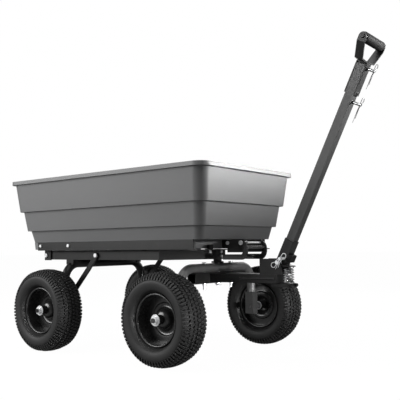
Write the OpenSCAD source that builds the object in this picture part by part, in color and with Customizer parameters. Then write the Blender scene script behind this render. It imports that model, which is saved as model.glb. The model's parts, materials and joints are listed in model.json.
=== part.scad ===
// Tipping dump cart: a stepped poly tub on a steel frame, four flat-free wheels,
// a steered front axle and a sprung tongue that ends in a D-grip.
// Millimetres. +X points forward to the tongue, +Y to the cart's left, +Z up from the ground.

/* [Wheels] */
// Distance from the rear axle to the front axle
wheelbase = 631; // [600:1:680]
// Distance between the left and right tyre centres
track = 643; // [630:1:700]
// Outside diameter of a tyre
tyre_d = 330; // [320:1:340]
// Width of a tyre
tyre_w = 120; // [100:1:130]
// Diameter over the rim flanges
rim_d = 184; // [174:1:200]
// Width over the rim flanges
rim_w = 76; // [66:1:84]
// Height of a rim flange above the tyre seat
rim_lip = 16; // [10:1:20]
// Thickness of the rim pressing
rim_t = 3; // [2:0.5:4]
// Diameter of the pressed ring in the wheel disc
ring_d = 114; // [100:1:124]
// Diameter of the dome around the hub
dome_d = 75; // [66:1:84]
// How far the wheel disc lies inboard of the tyre centre
disc_in = 17; // [10:1:22]
// Outside diameter of the hub tube
hub_d = 34; // [32:1:40]
// Length of the hub tube
hub_len = 74; // [66:1:78]
// Outside diameter of a wheel bearing
bearing_d = 26; // [24:1:28]
// Diameter of the wheel spindles
spindle_d = 16; // [12:1:18]

/* [Frame] */
// Height of the underside of the main rails
deck_z = 365.5; // [358:0.5:372]
// Height of the main rail section
rail_h = 37; // [34:1:40]
// Width of the main rail section
rail_w = 25; // [20:1:30]
// Wall of the main rail section
rail_t = 2.5; // [2:0.5:4]
// Reach of the main rails behind the tipping pivot
rail_rear = 7; // [6.5:0.5:8]
// Distance of the rail bends behind the front axle
rail_bend = 126; // [100:1:150]
// Outside diameter of the axle hoop tube
hoop_d = 34; // [30:1:38]
// Wall of the axle hoop tube
hoop_t = 3; // [2:0.5:4]
// Distance of a hoop leg from the centre plane
hoop_y = 230; // [224:1:236]
// Bend radius of the hoop at the tube centre
hoop_r = 68; // [60:1:76]
// How much lower the front hoop lies than the rear one
front_drop = 15; // [12:0.5:18]
// Height of the saddles between the rear hoop and the main rails
saddle_h = 20; // [16:1:26]
// Width of a brace bar
brace_w = 22; // [18:1:26]
// Thickness of a brace bar
brace_t = 7; // [5:0.5:9]
// Length of the front post along the cart
post_l = 32; // [28:1:40]
// Width of the front post
post_w = 60; // [50:1:70]
// Diameter of the kingpin
king_d = 16; // [12:1:18]

/* [Tub] */
// Length over the tub rim
tub_len = 1100; // [1060:1:1140]
// Width over the tub rim
tub_w = 623; // [600:1:640]
// Reach of the tub rim ahead of the front axle
tub_lead = 175; // [168:1:182]
// Wall of the tub
tub_t = 4.5; // [3.5:0.5:6]
// Height of the lowest side band
band3_h = 50; // [40:1:60]
// Height of the middle side band
band2_h = 84; // [70:1:95]
// Height of the top side band
band1_h = 119; // [100:1:135]
// Height of the rolled rim
rim_h = 15; // [12:1:20]
// Inset of the side at the foot of the top band
band1_in = 27; // [22:1:30]
// Inset of the side at the foot of the middle band
band2_in = 52; // [46:1:55]
// Inset of the side at the foot of the lowest band
band3_in = 76; // [70:1:78]
// Width of the shelf between two bands
shelf_w = 12; // [8:1:14]
// Plan radius of the rim corners
tub_r = 48; // [40:1:56]
// Height of the tub rails
tub_rail_h = 36; // [33:1:40]
// Distance of a tub rail's outer face from the centre plane
tub_rail_y = 235; // [228:1:238]
// Thickness of the tub rail angle
angle_t = 4; // [3:0.5:5]
// Height of the rubber rest pads between the rails
pad_h = 2.5; // [2:0.5:5]
// Distance of the tipping pivot behind the rear axle
pivot_back = 148; // [144:1:152]
// Diameter of the tipping pivot bolts
pivot_d = 10; // [8:1:12]

/* [Lift handle] */
// Distance between the outer faces of the latch bracket sides
latch_w = 120; // [100:1:140]
// Reach of the latch bracket ahead of the tub foot
latch_l = 100; // [90:1:110]
// Thickness of the latch bracket
latch_t = 4; // [3:0.5:6]
// Half the height of the curve of the handle arms
arm_r = 26; // [24:0.5:28]
// Reach of that curve ahead of the handle's pin
arm_reach = 17; // [16:0.5:20]
// Width of the handle arms
arm_w = 20; // [16:1:21]
// Thickness of the handle arms
arm_t = 6; // [4:0.5:8]
// Length of the straight lower part of the handle arms
arm_l = 84; // [70:1:88]
// Diameter of the cross bars of the handle
bar_d = 14; // [10:1:16]

/* [Steering] */
// Length of the front beam along the cart
beam_l = 40; // [36:1:46]
// Height of the front beam
beam_h = 40; // [36:1:44]
// Width of the drawbar
drawbar_w = 80; // [74:1:90]
// Reach of the drawbar ahead of the front axle
drawbar_l = 291; // [280:1:296]
// Height of the drawbar
drawbar_h = 32; // [28:1:36]
// Thickness of the drawbar and bracket plates
plate_t = 4; // [3:0.5:5]
// Gap between the tongue bracket flanges
bracket_gap = 58; // [56:1:64]
// Height of the tongue bracket flanges
bracket_h = 52; // [50:1:56]
// Outside diameter of the tongue springs
spring_d = 26; // [22:1:27]
// Wire diameter of the tongue springs
spring_wire = 4; // [3:0.5:4.5]
// Number of curls in a tongue spring
spring_turns = 6; // [4:1:7]

/* [Tongue] */
// Lean of the tongue from the vertical, in degrees
lean = 26.3; // [20:0.1:32]
// Distance of the tongue's foot ahead of the front axle
tongue_x = 303; // [301:1:305]
// Height of the tongue's foot above the drawbar
tongue_z = 60; // [59:1:62]
// Length of the tongue tube above its foot
tongue_len = 720; // [650:1:760]
// Width of the square tongue tube
tongue_w = 32; // [28:1:34]
// Wall of the tongue tube
tongue_t = 2.5; // [2:0.5:4]
// Length of the foot sleeve above the tongue's foot
sleeve_len = 70; // [55:1:90]
// Wall of the foot sleeve
sleeve_t = 3; // [2:0.5:4]
// Length of the clevis plates
clevis_len = 112; // [100:1:125]
// Thickness of the clevis plates
clevis_t = 5; // [4:0.5:6]
// Diameter of the hitch pins
hitch_d = 10; // [8:1:12]

/* [Grip] */
// Width of the D-grip over its straps
grip_w = 154; // [130:1:170]
// Width of the D-grip at its foot
grip_foot_w = 92; // [80:1:100]
// Height of the grip bar above the tongue's end
grip_h = 79; // [70:1:90]
// Width of the grip straps
strap_w = 30; // [26:1:34]
// Thickness of the grip straps
strap_t = 5; // [4:0.5:6]
// Diameter of the padded grip bar
grip_d = 34; // [30:1:36]

/* [Hidden] */
$fn = 48;

// Clearances: running fit on a radius, gap between moving faces, and overrun of every cut
fit = 0.05;
gap = 0.3;
over = 1;

// Paint, plastic and metal colours
poly_grey = [0.42, 0.42, 0.43];
paint_grey = [0.22, 0.22, 0.23];
paint_black = [0.05, 0.05, 0.05];
rubber_black = [0.08, 0.08, 0.08];
zinc = [0.8, 0.8, 0.82];

// Wheel values, measured along the axle from the tyre centre, outboard positive
axle_z = tyre_d / 2;
seat_r = rim_d / 2 - rim_lip;
bead = rim_w / 2 - rim_t;
hub_shift = 3;
hub_out = hub_len / 2 - hub_shift;
hub_in = -hub_len / 2 - hub_shift;
bearing_l = 12;
bearing_lip = 2.5;
washer_d = 40;
washer_t = 3;
nut_t = 10;
spindle_tip = 4;
shoulder_d = bearing_d;
// Exponent of the tyre section, and the angle where its sidewall meets the bead
tyre_power_share = 0.9;
bead_angle = -55;
tyre_steps = 12;
disc_step = 6;
dome_h = 8;

// Frame values
rail_out = hoop_y - hoop_d / 2 - brace_t;
rail_in = rail_out - rail_w;
rail_top = deck_z + rail_h;
rear_hoop_z = deck_z - hoop_d / 2;
front_hoop_z = rear_hoop_z - front_drop;
hoop_flat = hoop_y - hoop_r;
leg_stub = 40;
knuckle_top = front_hoop_z - hoop_r - leg_stub;
knuckle_l = 38;
knuckle_t = 5;
knuckle_drop = 29;
spindle_stub = 2.5;
saddle_l = 44;
bolt_d = 10;
head_share = 1.7;
head_h = 5;
nut_h = 8;
hoop_bolt_y = 86;
bolt_tail = 16;
brace_reach = 170;
brace_bend_back = 46;
brace_bend_drop = 35;
brace_foot_up = 35;
brace_top = [brace_reach, deck_z + rail_h / 2];
brace_bend = [brace_reach - brace_bend_back, deck_z - brace_bend_drop];
brace_foot = [0, axle_z + brace_foot_up];
post_bolt_shares = [0.32, 0.79];
post_bolt_z = post_bolt_shares * rail_h;
post_bolt_d = 7;
post_bolt_l = 6;
king_head_h = 6;
collar_d = 48;
collar_neck_d = 32;
collar_flange_share = 0.45;
pad_l = 24;
pad_w = 14;
pad_rear = 60;
pad_front = 75;
pad_places = [-pad_rear, wheelbase - rail_bend - pad_front];

// Tub values
tub_rail_z = rail_top + pad_h;
tub_foot_z = tub_rail_z + angle_t;
ledge_z = tub_rail_z + tub_rail_h;
band2_z = ledge_z + band3_h;
band1_z = band2_z + band2_h;
rim_z = band1_z + band1_h;
tub_top = rim_z + rim_h;
tub_front = wheelbase + tub_lead;
tub_back = tub_len - tub_front;
foot_end_in = 108;
foot_back_in = 83;
foot_side_in = tub_w / 2 - tub_rail_y + angle_t;
tub_foot_x = tub_front - foot_end_in;
tub_foot_back = foot_back_in - tub_back;
// Shelf under the lowest band, at the rear and at the sides
back_shelf = 1;
side_shelf = 4.5;
// The side insets follow the room between the rim and the foot
side_share = (foot_side_in - side_shelf) / band3_in;
rim_out = 12;
rim_round = 4;
corner_share = 0.25;
corner_steps = 8;
foot_r = 15;
pivot_x = -pivot_back;
pivot_z = deck_z + rail_h / 2;
tab_back = 12;
tab_front = 28;
tab_drop = 21;
tab_t = 6;
tab_gap = 0.5;
tub_rail_in = 32;
tub_rail_lead = 2;
tub_rail_x0 = min(pivot_x - tab_back, tub_foot_back + tub_rail_in);
tub_rail_x1 = tub_foot_x + tub_rail_lead;
tub_flange = 45;
tub_bolt_d = 8;
tub_bolt_h = 20;
tub_bolt_lead = 53;
tub_bolt_mid = 237;
tub_bolt_z = tub_rail_z + tub_bolt_h;
tub_bolt_places = [tub_foot_back + tub_bolt_lead, tub_foot_back + tub_bolt_mid];
crossbar_l = 38;
crossbar_t = 4;
buffer_y = 150;
buffer_d = 22;
buffer_h = 16;
buffer_tail = 10;

// Lift handle values
latch_z = tub_foot_z;
latch_h = 30;
latch_lip = 17;
arm_gap = 1;
top_bar_in = 1;
top_bar_x = arm_reach - top_bar_in;
// The bracket ends just behind the handle's upper bar
latch_pin_back = top_bar_x - bar_d / 2 - arm_gap;
latch_pin_x = tub_foot_x + latch_l - latch_pin_back;
latch_pin_h = 18;
latch_pin_z = latch_z + latch_pin_h;
latch_pin_d = 10;
latch_rear_x = 27;
arm_z = latch_pin_z - arm_r;
top_bar_z = arm_z + arm_r * sqrt(1 - pow(top_bar_x / arm_reach, 2));
low_bar_back = 29;
return_wire = 2.5;
return_turns = 6;
return_len = 24;

// Steering values
beam_z = front_hoop_z - hoop_d / 2;
beam_t = 3;
drawbar_top = beam_z - plate_t;
drawbar_z = drawbar_top - drawbar_h;
drawbar_x0 = wheelbase + beam_l / 2;
drawbar_x1 = wheelbase + drawbar_l;
drawbar_wide = 150;
drawbar_neck = 110;
bead_d = 8;
bead_end = 10;
bracket_back = 215;
bracket_front = 311;
bracket_slant = 11;
bracket_top = drawbar_top + plate_t + bracket_h;
bracket_base_end = 2;
seat_back = 30;
seat_reach = 40;
seat_w = 60;
seat_h = 13;
knob_d = 12;
knob_l = 10;
knob_y = 20;
spring_y = 16;
spring_lead = 14;
spring_rise = 26;
spring_x = wheelbase + tongue_x + spring_lead;
spring_foot_z = drawbar_top + spring_rise;
spring_h = spring_foot_z - drawbar_z;

// Tongue values: s runs up the tongue from its foot, n points out of its front face
foot = [wheelbase + tongue_x, drawbar_top + tongue_z];
hinge_s = -20;
hinge_n = -0.5;
hinge_d = 12;
lug_d = 22;
sleeve_w = tongue_w + 2 * sleeve_t;
sleeve_slack = 0.2;
sleeve_floor = 8;
bumper_t = 14;
bumper_low = -5;
bumper_high = 22;
wedge_gap = 1;
wedge_back = hinge_n + lug_d / 2 + wedge_gap;
pin_head_t = 4;
pin_head_share = 1.6;
foot_pin_d = 10;
foot_pin_n = 8;
clip_wire = 2.6;
clip_eye = 9;
clip_len = 44;
hitch_clip_len = 66;
clip_short = 14;
pin_tip = 6;
clip_off = 5;
clip_step = 8;
pivot_clip_y = bracket_gap / 2 + plate_t + clip_off;
sleeve_clip_y = pivot_clip_y + clip_step;
clevis_lip = 8;
clevis_top = tongue_len + clevis_lip;
upper_pin_in = 18;
lower_pin_below = 24;
upper_pin_s = clevis_top - upper_pin_in;
lower_pin_s = clevis_top - clevis_len - lower_pin_below;
hitch_out = 30;
hitch_clip_back = 6;
tang_slack = 0.4;
tang_w = tongue_w - 2 * tongue_t - tang_slack;
tang_len = 76;
grip_s = tongue_len + grip_h;
grip_base_s = clevis_top;
grip_neck_w = 44;
grip_knee = 16;
grip_core_d = 16;
rivet_d = 8;
rivet_h = 2;

// The model's origin is the middle of its plan box, from the tub's rear rim to the grip's front
grip_front = tongue_point(grip_s, 0)[0] + grip_d / 2;
origin_x = (tub_back - grip_front) / 2;

// World place of a point on the tongue, given along it and out of its front face
function tongue_point(s, n) =
    [foot[0] + s * sin(lean) + n * cos(lean), foot[1] + s * cos(lean) - n * sin(lean)];

hinge = tongue_point(hinge_s, hinge_n);
foot_pin = tongue_point(0, foot_pin_n);

// Points of an arc in a plane
function arc(c, r, a0, a1, steps) =
    [for (i = [0 : steps]) c + r * [cos(a0 + (a1 - a0) * i / steps), sin(a0 + (a1 - a0) * i / steps)]];

function unit(v) = v / norm(v);
function side_of(v) = [-v[1], v[0]];

// Direction of a path at one of its points
function heading(p, i) =
    i == 0 ? unit(p[1] - p[0]) :
    i == len(p) - 1 ? unit(p[i] - p[i - 1]) :
    unit(unit(p[i] - p[i - 1]) + unit(p[i + 1] - p[i]));

// Mitre that keeps a bar's width through a bend of its path
function mitre(p, i) = i == 0 || i == len(p) - 1 ? 1 : 1 / (heading(p, i) * unit(p[i + 1] - p[i]));

// Outline of a flat bar of one width along a path
function bar_outline(p, w) = concat(
    [for (i = [0 : len(p) - 1]) p[i] + side_of(heading(p, i)) * w / 2 * mitre(p, i)],
    [for (i = [len(p) - 1 : -1 : 0]) p[i] - side_of(heading(p, i)) * w / 2 * mitre(p, i)]);

// Round wire swept along points, with a reference direction for each point
module wire(p, refs, d, sides = 6) {
    n = len(p);
    rings = [for (i = [0 : n - 1])
        let (t = heading(p, i), u = unit(cross(t, refs[i])), v = cross(t, u))
            for (k = [0 : sides - 1]) p[i] + d / 2 * (u * cos(360 * k / sides) + v * sin(360 * k / sides))];
    walls = [for (i = [0 : n - 2]) for (k = [0 : sides - 1])
        let (a = i * sides + k, b = i * sides + (k + 1) % sides, c = a + sides, e = b + sides)
            each [[a, c, b], [b, c, e]]];
    caps = [for (k = [1 : sides - 2]) each [[0, k, k + 1],
        [(n - 1) * sides, (n - 1) * sides + k + 1, (n - 1) * sides + k]]];
    polyhedron(rings, concat(walls, caps));
}

// Path of a coil spring along +Z with straight ends, and its outward directions
function coil_angle(i) = 45 * i;
function coil_path(r, h, d, turns) = concat(
    [[r, 0, 0]],
    [for (i = [0 : 8 * turns])
        [r * cos(coil_angle(i)), r * sin(coil_angle(i)), d + (h - 2 * d) * i / (8 * turns)]],
    [[r, 0, h]]);
function coil_refs(turns) = concat(
    [[1, 0, 0]],
    [for (i = [0 : 8 * turns]) [cos(coil_angle(i)), sin(coil_angle(i)), 0]],
    [[1, 0, 0]]);
function coil_gap(p, d) = min([for (i = [0 : len(p) - 6]) for (j = [i + 5 : len(p) - 1]) norm(p[i] - p[j])]) - d;

module coil(od, d, h, turns, label) {
    p = coil_path((od - d) / 2, h, d, turns);
    echo(label, coil_gap(p, d));
    wire(p, coil_refs(turns), d);
}

// Spring clip in the XY plane: its straight leg runs along +X through the pin at the origin
module spring_clip(pin_d, leg) {
    lap = (pin_d + clip_wire) / 2 + gap;
    eye_x = -lap - clip_eye;
    flat = concat(
        [[leg, 0]],
        arc([eye_x, clip_eye], clip_eye, 270, 30, 10),
        [[-lap / 2, lap + clip_wire / 2]],
        arc([0, 0], lap + clip_wire / 2, 100, 60, 3),
        [[lap + clip_wire, lap * corner_share + clip_wire], [leg * (1 - corner_share), lap]]);
    p = [for (q = flat) [q[0], q[1], 0]];
    wire(p, [for (q = p) [0, 0, 1]], clip_wire);
}

module placed() translate([origin_x, 0, 0]) children();

// Turn a shape drawn in X and Y so that it stands in X and Z, and runs along Y from y0 for t
module upright(y0, t) translate([0, y0 + t, 0]) rotate([90, 0, 0]) linear_extrude(t) children();

// Round bar along Y
module bar_y(x, z, d, y0, y1) translate([x, y0, z]) rotate([-90, 0, 0]) cylinder(d = d, h = y1 - y0);

// Round bar along X
module bar_x(y, z, d, x0, x1) translate([x0, y, z]) rotate([0, 90, 0]) cylinder(d = d, h = x1 - x0);

// Round bar along Z
module bar_z(x, y, d, z0, z1) translate([x, y, z0]) cylinder(d = d, h = z1 - z0);

module block(x0, x1, y0, y1, z0, z1) translate([x0, y0, z0]) cube([x1 - x0, y1 - y0, z1 - z0]);

// Tongue frame: X out of the front face, Y across, Z up the tongue
module on_tongue() translate([foot[0], 0, foot[1]]) rotate([0, lean, 0]) children();

// Wheel frame: Z runs outboard along the axle
module at_wheel(x, side) placed() translate([x, side * track / 2, axle_z]) rotate([-90 * side, 0, 0]) children();

// One side of the frame drawn for +Y, or its mirror image
module on_side(side) mirror([0, side < 0 ? 1 : 0, 0]) children();

module both_sides() {
    on_side(1) children();
    on_side(-1) children();
}

// One ring of the tub wall, a rectangle with round corners
function tub_ring(z, front_in, back_in, side_in, r) =
    let (x0 = back_in - tub_back + r, x1 = tub_front - front_in - r, y = tub_w / 2 - side_in - r)
    [for (q = [0 : 3]) for (k = [0 : corner_steps])
        let (a = 90 * q + 90 * k / corner_steps, x = q == 0 || q == 3 ? x1 : x0, side = q < 2 ? 1 : -1)
            [x + r * cos(a), side * y + r * sin(a), z]];

function band_ring(z, inset, wall = 0) =
    tub_ring(z, inset + wall, inset + wall, inset * side_share + wall, tub_r - corner_share * (inset + wall));
function foot_ring(z, back_in, wall) =
    tub_ring(z, foot_end_in + wall, back_in + wall, foot_side_in + wall, foot_r - wall);

// The tub wall from its foot, up the stepped outside, over the rim and down the inside
tub_rings = [
    foot_ring(tub_foot_z, foot_back_in, 0),
    foot_ring(ledge_z, band3_in + back_shelf, 0),
    band_ring(ledge_z, band3_in),
    band_ring(band2_z, band2_in + shelf_w),
    band_ring(band2_z, band2_in),
    band_ring(band1_z, band1_in + shelf_w),
    band_ring(band1_z, band1_in),
    band_ring(rim_z, rim_out),
    band_ring(rim_z, rim_round / 2),
    band_ring(rim_z + rim_round / 2, 0),
    band_ring(tub_top - rim_round, 0),
    band_ring(tub_top, rim_round),
    band_ring(tub_top, rim_out),
    band_ring(tub_top - rim_round, rim_out, tub_t),
    band_ring(band1_z + tub_t, band1_in, tub_t),
    band_ring(band1_z + tub_t, band1_in + shelf_w, tub_t),
    band_ring(band2_z + tub_t, band2_in, tub_t),
    band_ring(band2_z + tub_t, band2_in + shelf_w, tub_t),
    band_ring(ledge_z + tub_t, band3_in, tub_t),
    foot_ring(ledge_z + tub_t, band3_in + back_shelf, tub_t),
    foot_ring(tub_foot_z + tub_t, foot_back_in, tub_t)
];

module tub_shell() {
    m = 4 * (corner_steps + 1);
    walls = [for (i = [0 : len(tub_rings) - 2]) for (k = [0 : m - 1])
        let (a = i * m + k, b = i * m + (k + 1) % m, c = a + m, e = b + m)
            each [[a, c, b], [b, c, e]]];
    base = [for (k = [0 : m - 1]) k];
    floor = [for (k = [m - 1 : -1 : 0]) (len(tub_rings) - 1) * m + k];
    polyhedron([for (r = tub_rings) each r], concat(walls, [base, floor]));
}

module tub() color(poly_grey) placed() difference() {
    tub_shell();
    for (x = tub_bolt_places)
        both_sides()
            bar_y(x, tub_bolt_z, tub_bolt_d + 2 * fit, tub_rail_y - tub_flange, tub_rail_y + over);
}

// Steel angle under the tub, with the tab that hangs on the tipping pivot
module tub_rail() difference() {
    union() {
        block(tub_rail_x0, tub_rail_x1, tub_rail_y - angle_t, tub_rail_y, tub_rail_z, ledge_z);
        block(tub_rail_x0, tub_rail_x1, tub_rail_y - tub_flange, tub_rail_y, tub_rail_z, tub_foot_z);
        block(pivot_x - tab_back, pivot_x + tab_front, rail_out + tab_gap, rail_out + tab_gap + tab_t,
            pivot_z - tab_drop, tub_rail_z + angle_t / 2);
    }
    bar_y(pivot_x, pivot_z, pivot_d + 2 * fit, rail_out, rail_out + tab_t + over);
    for (x = tub_bolt_places)
        bar_y(x, tub_bolt_z, tub_bolt_d + 2 * fit, tub_rail_y - angle_t - over, tub_rail_y + over);
}

module tub_rail_left() color(paint_grey) placed() on_side(1) tub_rail();
module tub_rail_right() color(paint_grey) placed() on_side(-1) tub_rail();

// Hexagon nut along Z
module nut(d, h, bore) difference() {
    cylinder(d = d, h = h, $fn = 6);
    translate([0, 0, -over]) cylinder(d = bore, h = h + 2 * over);
}

// Bolts and nuts that hold the tub, its crossbar and the latch bracket
module tub_bolts() color(zinc) placed() {
    head = tub_bolt_d * head_share;
    inner = tub_rail_y - angle_t - tub_t;
    for (x = tub_bolt_places) both_sides() {
        bar_y(x, tub_bolt_z, tub_bolt_d, inner - nut_h, tub_rail_y);
        bar_y(x, tub_bolt_z, head, tub_rail_y, tub_rail_y + head_h);
        translate([x, inner - nut_h, tub_bolt_z]) rotate([-90, 0, 0]) nut(head, nut_h, tub_bolt_d);
    }
    both_sides() {
        bar_z(buffer_x, buffer_y, tub_bolt_d, tub_rail_z - crossbar_t - buffer_tail, tub_rail_z);
        bar_y(latch_rear, latch_pin_z, head, latch_w / 2, latch_w / 2 + head_h);
        bar_y(latch_rear, latch_pin_z, tub_bolt_d, latch_w / 2 - latch_t - nut_h, latch_w / 2);
        translate([latch_rear, latch_w / 2 - latch_t - nut_h, latch_pin_z])
            rotate([-90, 0, 0]) nut(head, nut_h, tub_bolt_d);
    }
}

buffer_x = tub_rail_x1 + buffer_d / 2;
latch_rear = tub_foot_x + latch_rear_x;

// Flat bar across the front ends of the tub rails
module tub_crossbar() color(paint_black) placed() difference() {
    block(tub_rail_x1 + buffer_d - crossbar_l, tub_rail_x1 + buffer_d,
        -tub_rail_y, tub_rail_y, tub_rail_z - crossbar_t, tub_rail_z);
    both_sides()
        bar_z(buffer_x, buffer_y, tub_bolt_d + 2 * fit, tub_rail_z - crossbar_t - over, tub_rail_z + over);
}

module crossbar_buffers() color(rubber_black) placed() both_sides()
    bar_z(buffer_x, buffer_y, buffer_d, tub_rail_z, tub_rail_z + buffer_h);

// Bracket on the front of the tub foot that carries the lift handle
module latch_bracket() color(paint_grey) placed() difference() {
    union() {
        block(tub_foot_x, tub_foot_x + latch_t, -latch_w / 2, latch_w / 2, latch_z, latch_z + latch_h);
        both_sides()
            block(tub_foot_x, tub_foot_x + latch_l, latch_w / 2 - latch_t, latch_w / 2, latch_z, latch_z + latch_h);
        both_sides()
            block(tub_rail_x1 + buffer_d + gap, tub_foot_x + latch_l, latch_w / 2 - latch_t, latch_w / 2,
                latch_z - latch_lip, latch_z + latch_h);
    }
    bar_y(latch_pin_x, latch_pin_z, latch_pin_d + 2 * fit, -latch_w, latch_w);
    bar_y(latch_rear, latch_pin_z, tub_bolt_d + 2 * fit, -latch_w, latch_w);
}

arm_path = concat(
    [for (p = arc([0, 0], 1, 90, -90, 16)) [latch_pin_x + arm_reach * p[0], arm_z + arm_r * p[1]]],
    [[latch_pin_x - arm_l, arm_z - arm_r]]);
arm_y0 = latch_w / 2 + arm_gap;

// Two hooked arms joined by two cross bars, lifted at the front to free the tub
module lift_handle() color(paint_grey) placed() {
    both_sides() difference() {
        union() {
            upright(arm_y0, arm_t) polygon(bar_outline(arm_path, arm_w));
            bar_y(latch_pin_x, latch_pin_z, arm_w, arm_y0, arm_y0 + arm_t);
        }
        bar_y(latch_pin_x, latch_pin_z, latch_pin_d + 2 * fit, arm_y0 - over, arm_y0 + arm_t + over);
    }
    bar_y(latch_pin_x + top_bar_x, top_bar_z, bar_d, -arm_y0 - arm_t / 2, arm_y0 + arm_t / 2);
    bar_y(latch_pin_x - low_bar_back, arm_z - arm_r, bar_d, -arm_y0 - arm_t / 2, arm_y0 + arm_t / 2);
}

module handle_pivot_pin() color(zinc) placed() {
    end = arm_y0 + arm_t + gap;
    bar_y(latch_pin_x, latch_pin_z, latch_pin_d, -end, end);
    both_sides() bar_y(latch_pin_x, latch_pin_z, latch_pin_d * head_share, end, end + head_h);
}

// Return spring of the lift handle, wound round its pivot pin beside the bracket
module latch_spring() color(zinc) placed()
    translate([latch_pin_x, -latch_w / 2 + latch_t, latch_pin_z]) rotate([-90, 0, 0])
        coil(latch_pin_d + 2 * return_wire + 2 * gap, return_wire, return_len, return_turns, "latch spring gap");

post_x0 = wheelbase - post_l / 2;
post_x1 = wheelbase + post_l / 2;
bend_x = wheelbase - rail_bend;
rail_mid = rail_out - rail_w / 2;

// Path of a main rail in plan, from its rear end to the side of the front post
rail_path = [[pivot_x - rail_rear, rail_mid], [bend_x, rail_mid], [wheelbase, post_w / 2 - rail_w]];

module main_rail() difference() {
    translate([0, 0, deck_z]) linear_extrude(rail_h) rail_plan(rail_w);
    translate([0, 0, deck_z + rail_t]) linear_extrude(rail_h - 2 * rail_t) rail_hollow();
    bar_y(pivot_x, pivot_z, pivot_d + 2 * fit, rail_in - over, rail_out + over);
    bar_y(brace_top[0], brace_top[1], bolt_d + 2 * fit, rail_in - over, rail_out + over);
}

// Plan of the rail, cut off at the side of the post
module rail_plan(w) intersection() {
    polygon(bar_outline(rail_path, w));
    translate([-tub_len, post_w / 2]) square([2 * tub_len, tub_w]);
}

// Inside of the rail section, open at the rear end
module rail_hollow() intersection() {
    polygon(bar_outline(concat([rail_path[0] - [over, 0]], [rail_path[1], rail_path[2]]), rail_w - 2 * rail_t));
    translate([-tub_len, post_w / 2 + rail_t]) square([2 * tub_len, tub_w]);
}

module main_rail_left() color(paint_grey) placed() on_side(1) main_rail();
module main_rail_right() color(paint_grey) placed() on_side(-1) main_rail();

// Saddles that the main rails sit on, fitted over the bends of the rear hoop
module rear_saddles() color(paint_black) placed() difference() {
    both_sides() block(-saddle_l / 2, saddle_l / 2, rail_in, rail_out, deck_z - saddle_h, deck_z);
    hoop_run(hoop_d + 2 * fit, rear_hoop_z, knuckle_top);
}

// Hoop of one diameter: a straight top, two bends and two short legs
module hoop_run(d, top_z, leg_end) {
    bar_y(0, top_z, d, -hoop_flat, hoop_flat);
    both_sides() {
        translate([0, hoop_flat, top_z - hoop_r]) rotate([90, 0, 90])
            rotate_extrude(angle = 90) translate([hoop_r, 0]) circle(d = d);
        bar_z(0, hoop_y, d, leg_end, top_z - hoop_r);
    }
}

module hoop(top_z) difference() {
    hoop_run(hoop_d, top_z, knuckle_top);
    hoop_run(hoop_d - 2 * hoop_t, top_z, knuckle_top - over);
}

module rear_hoop() color(paint_black) placed() hoop(rear_hoop_z);

brace_path = [brace_foot, brace_bend, brace_top];

// Flat bar from the side of a main rail down to the axle knuckle
module brace() difference() {
    union() {
        upright(rail_out, brace_t) polygon(bar_outline(brace_path, brace_w));
        for (p = [brace_foot, brace_top])
            bar_y(p[0], p[1], brace_w, rail_out, rail_out + brace_t);
    }
    for (p = [brace_foot, brace_top])
        bar_y(p[0], p[1], bolt_d + 2 * fit, rail_out - over, rail_out + brace_t + over);
}

module rear_brace_left() color(paint_black) placed() on_side(1) brace();
module rear_brace_right() color(paint_black) placed() on_side(-1) brace();

knuckle_y0 = hoop_y - hoop_d / 2;
knuckle_y1 = hoop_y + hoop_d / 2;
spindle_y1 = track / 2 + hub_out + bearing_lip + gap + washer_t + nut_t + spindle_tip;
shoulder_y1 = track / 2 + hub_in - bearing_lip - gap;

// Square knuckle under a hoop leg, with the spindle welded through it
module spindle(brace_hole) difference() {
    union() {
        difference() {
            block(-knuckle_l / 2, knuckle_l / 2, knuckle_y0, knuckle_y1, axle_z - knuckle_drop, knuckle_top);
            block(-knuckle_l / 2 + knuckle_t, knuckle_l / 2 - knuckle_t, knuckle_y0 + knuckle_t,
                knuckle_y1 - knuckle_t, axle_z - knuckle_drop - over, knuckle_top - knuckle_t);
        }
        bar_y(0, axle_z, spindle_d, knuckle_y0 - spindle_stub, spindle_y1);
        bar_y(0, axle_z, shoulder_d, knuckle_y1 - knuckle_t, shoulder_y1);
    }
    if (brace_hole)
        bar_y(brace_foot[0], brace_foot[1], bolt_d + 2 * fit, knuckle_y0 - over, knuckle_y1 + over);
}

module rear_spindles() color(paint_black) placed() both_sides() spindle(true);
module front_spindles() color(paint_grey) placed() translate([wheelbase, 0, 0]) both_sides() spindle(false);

// Washer and nut on the end of a spindle
module wheel_nut() {
    y0 = track / 2 + hub_out + bearing_lip + gap;
    translate([0, y0, axle_z]) rotate([-90, 0, 0]) difference() {
        cylinder(d = washer_d, h = washer_t);
        translate([0, 0, -over]) cylinder(d = spindle_d + 2 * fit, h = washer_t + 2 * over);
    }
    translate([0, y0 + washer_t, axle_z]) rotate([-90, 0, 0])
        nut(spindle_d * head_share, nut_t, spindle_d + 2 * fit);
}

module rear_wheel_nuts() color(zinc) placed() both_sides() wheel_nut();
module front_wheel_nuts() color(zinc) placed() translate([wheelbase, 0, 0]) both_sides() wheel_nut();

// Bolt along Z with its head on top and a nut below
module through_bolt(x, y, top, under) {
    bar_z(x, y, bolt_d, under - nut_h - bolt_tail, top);
    bar_z(x, y, bolt_d * head_share, top, top + head_h);
    translate([x, y, under - nut_h]) nut(bolt_d * head_share, nut_h, bolt_d);
}

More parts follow.
